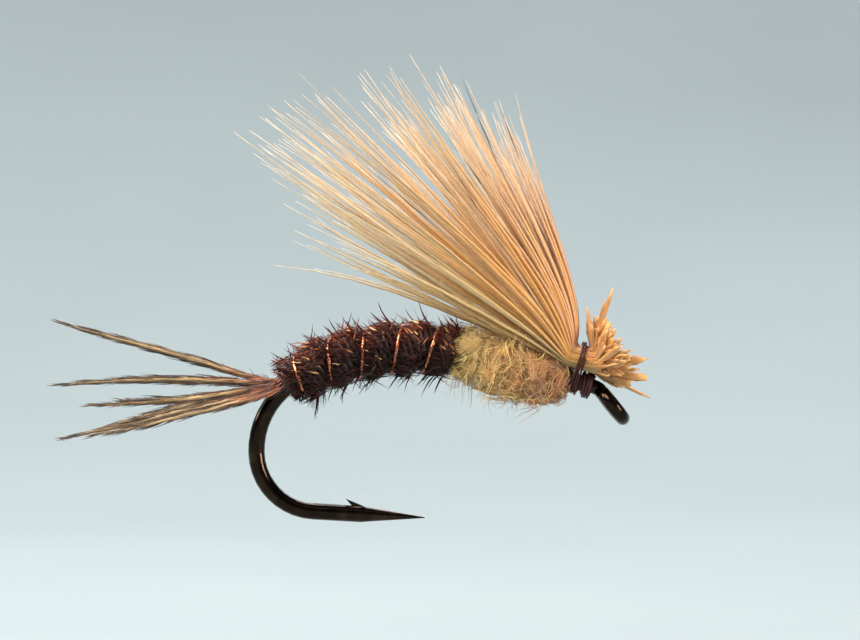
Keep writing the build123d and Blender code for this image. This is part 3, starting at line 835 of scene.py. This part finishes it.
def fur_fibres(tufts, each, rng, lift, length, thickness, curl, steps=12):
    """Fibres in tufts laid round the body, wavy, that lift away from it at their ends."""
    count = tufts * each

    def shared(values, scatter):
        return np.repeat(values, each, axis=-1) + rng.normal(0, scatter, count)

    t0 = shared(rng.uniform(0.0, 0.97, tufts), 0.012)
    angle0 = shared(rng.uniform(-np.pi, np.pi, tufts), 0.09)
    s = np.linspace(0, 1, steps)[None]
    reach = (np.repeat(rng.uniform(*length, tufts), each) * rng.uniform(0.6, 1.1, count))[:, None]
    way = rng.uniform(-1.1, 1.1, tufts) + np.where(rng.random(tufts) < 0.7, 1.1, -0.5)
    way = shared(way, 0.16)
    span = THORAX_RUN[1] - THORAX_RUN[0]
    level0 = thorax_level(t0, angle0)[:, None]
    waves = np.repeat(rng.uniform(3, 10, (3, tufts)), each, 1)[..., None]
    phases = shared(rng.uniform(0, 6.3, (3, tufts)), 0.3)[..., None]
    wiggle = curl * np.sin(s * waves + phases)
    angle = angle0[:, None] + (np.sin(way)[:, None] * reach * s + wiggle[0]) / level0
    t = t0[:, None] + (np.cos(way)[:, None] * reach * s + wiggle[1]) / span
    tuft_lift = np.repeat(rng.random(tufts) ** 2.2, each) * rng.uniform(0.5, 1.2, count)
    lifted = lift * tuft_lift[:, None] * s ** 1.5 * reach
    depth = np.repeat(rng.uniform(-0.17, -0.02, tufts), each)[:, None] + rng.uniform(0, 0.04, (count, 1))
    level = thorax_level(t, angle) + depth + lifted + wiggle[2] * 0.5
    t = np.clip(t, -0.02, 1.05)
    points = round_the_shank(THORAX_RUN[0] + span * t, angle, level)
    width = thickness * rng.uniform(0.7, 1.3, (count, 1)) * (1 - 0.8 * np.abs(2 * s - 1) ** 3)
    shade = thorax_tint(t0, angle0, rng) * np.repeat(rng.uniform(0.72, 1.12, tufts), each)[:, None]
    return strands(points, width, width * 0.8, np.repeat(shade[:, None], steps, 1), 4)


def build_thorax(material):
    """Packed fur, fibres laid on it, loose fibres that stand off, and coarse yellow ones."""
    rng = np.random.default_rng(77)
    make_piece("thorax_packed_fur", thorax_core(), material, ["thorax_dubbing_rope"])
    laid = fur_fibres(190, 20, rng, 0.35, (0.5, 1.3), 0.0105, 0.09)
    make_piece("thorax_laid_fibres", laid, material)
    loose = fur_fibres(260, 4, rng, 1.25, (0.4, 1.1), 0.008, 0.11)
    make_piece("thorax_loose_fibres", loose, material)
    coarse = fur_fibres(150, 1, rng, 0.45, (0.7, 1.4), 0.019, 0.12, 18)
    verts, corners, sizes, tint = coarse
    yellow = tint * 0.35 + srgb(226, 204, 112) * 0.65
    make_piece("thorax_coarse_fibres", (verts, corners, sizes, yellow), material)


# ---------------------------------------------------------------- head thread

def build_head_thread(material):
    """Thread wraps that build up the head under the wing, from the dubbing to the eye."""
    count = HEAD_TURNS * 22
    t = np.linspace(0, 1, count)
    there_and_back = 0.5 - 0.5 * np.cos(np.pi * 3 * t)
    run = HEAD_RUN[0] + (HEAD_RUN[1] - HEAD_RUN[0]) * there_and_back
    angle = 2 * np.pi * HEAD_TURNS * t
    level = HEAD_LEVEL + 0.075 * np.sin(np.pi * t * 2.2) ** 2 + 0.012 * np.sin(angle * 0.37)
    points = round_the_shank(run, angle, level)
    width = np.full((1, count), 0.034)
    tint = np.tile(srgb(70, 26, 22), (1, count, 1))
    make_piece("head_thread_wraps", strands(points[None], width, width * 0.75, tint, 6), material)


# ---------------------------------------------------------------- studio

FLOOR_Z = -14.0
BOWL_FLAT_R = 170.0
BOWL_R = 460.0
BOWL_TOP = 420.0
VIEW_WIDTH = 27.52               # millimetres across the picture at the fly
VIEW_CENTRE = (-5.82, 2.72)      # X and Z in the middle of the picture
LENS = 135.0
SENSOR = 36.0
SKY_COLOUR = (0.86, 0.92, 0.95, 1)
SKY_STRENGTH = 0.44
COOL_WHITE = (0.95, 0.98, 1.0)


def build_bowl(material):
    """A round studio: a flat floor that rises smoothly into a wall on every side."""
    sides = 96
    profile = [(r, FLOOR_Z) for r in np.linspace(0, BOWL_FLAT_R, 8)[1:]]
    bend = BOWL_R - BOWL_FLAT_R
    profile += [(BOWL_FLAT_R + bend * math.sin(a), FLOOR_Z + bend * (1 - math.cos(a)))
                for a in np.linspace(0, math.pi / 2, 20)[1:]]
    profile += [(BOWL_R, z) for z in np.linspace(FLOOR_Z + bend, BOWL_TOP, 4)[1:]]
    angle = 2 * np.pi * np.arange(sides) / sides
    verts = [(0.0, 0.0, FLOOR_Z * MM)]
    for r, z in profile:
        verts += [(r * MM * math.cos(a), r * MM * math.sin(a), z * MM) for a in angle]
    faces = [(0, 1 + j, 1 + (j + 1) % sides) for j in range(sides)]
    for i in range(len(profile) - 1):
        low, high = 1 + i * sides, 1 + (i + 1) * sides
        faces += [(low + j, high + j, high + (j + 1) % sides, low + (j + 1) % sides)
                  for j in range(sides)]
    mesh = bpy.data.meshes.new("studio_bowl")
    mesh.from_pydata(verts, [], faces)
    mesh.polygons.foreach_set("use_smooth", np.ones(len(mesh.polygons), bool))
    mesh.materials.append(material)
    bowl = bpy.data.objects.new("studio_bowl", mesh)
    bpy.context.scene.collection.objects.link(bowl)


def aim(thing, place, target):
    """Puts a camera or light at a place, looking at a target."""
    thing.location = np.array(place) * MM
    direction = Vector(target) - Vector(place)
    thing.rotation_euler = direction.to_track_quat("-Z", "Y").to_euler()


def softbox(name, place, size, power, colour, target=(-6, 0, 3)):
    """A square or oblong area light, aimed at the fly unless told otherwise."""
    light = bpy.data.lights.new(name, "AREA")
    light.shape = "RECTANGLE"
    light.size, light.size_y = size[0] * MM, size[1] * MM
    light.energy = power
    light.color = colour
    lamp = bpy.data.objects.new(name, light)
    bpy.context.scene.collection.objects.link(lamp)
    aim(lamp, place, target)


def build_studio():
    build_bowl(studio_paint())
    camera = bpy.data.cameras.new("camera")
    camera.lens, camera.sensor_width = LENS, SENSOR
    camera.clip_start, camera.clip_end = 1 * MM, 5.0
    eye = bpy.data.objects.new("camera", camera)
    bpy.context.scene.collection.objects.link(eye)
    x, z = VIEW_CENTRE
    aim(eye, (x, -VIEW_WIDTH * LENS / SENSOR, z), (x, 0, z))
    bpy.context.scene.camera = eye
    softbox("key_softbox", (-130, -190, 210), (170, 170), 1.15, (1.0, 0.95, 0.87))
    softbox("side_softbox", (-190, -10, 150), (180, 180), 1.35, (1.0, 0.97, 0.93))
    softbox("warm_softbox", (230, -110, 40), (90, 130), 0.8, (1.0, 0.90, 0.76))
    softbox("back_softbox", (60, 210, 170), (140, 140), 0.3, COOL_WHITE)
    softbox("backdrop_softbox", (0, 120, 300), (220, 120), 1.0, COOL_WHITE, (0, 330, 40))
    world = bpy.data.worlds.new("studio_light")
    world.use_nodes = True
    background = world.node_tree.nodes["Background"]
    background.inputs["Color"].default_value = SKY_COLOUR
    background.inputs["Strength"].default_value = SKY_STRENGTH
    bpy.context.scene.world = world
    bpy.context.scene.view_settings.view_transform = "Standard"


# ---------------------------------------------------------------- everything

def dress(node, material):
    """Gives a CAD node its material."""
    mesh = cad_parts[node].data
    mesh.materials.clear()
    mesh.materials.append(material)


def dress_cad_nodes(thread):
    dress("hook", hook_metal())
    dress("rib_wire", copper())
    for node in ("thread_underbody", "tail_tie_thread", "wing_tie_thread", "whip_finish_thread"):
        dress(node, thread)


tying_thread = thread_fibre()
build_studio()
dress_cad_nodes(tying_thread)
hair = deer_hair()
build_wing(hair)
build_short_ends(hair)
build_tail(feather("tail_feather", coat=0.2, sheen=0.3, light=1.35, specular=0.5))
build_abdomen(feather("abdomen_herl", coat=0.06, sheen=0.0, light=1.5, specular=0.3))
build_thorax(fur())
build_head_thread(tying_thread)
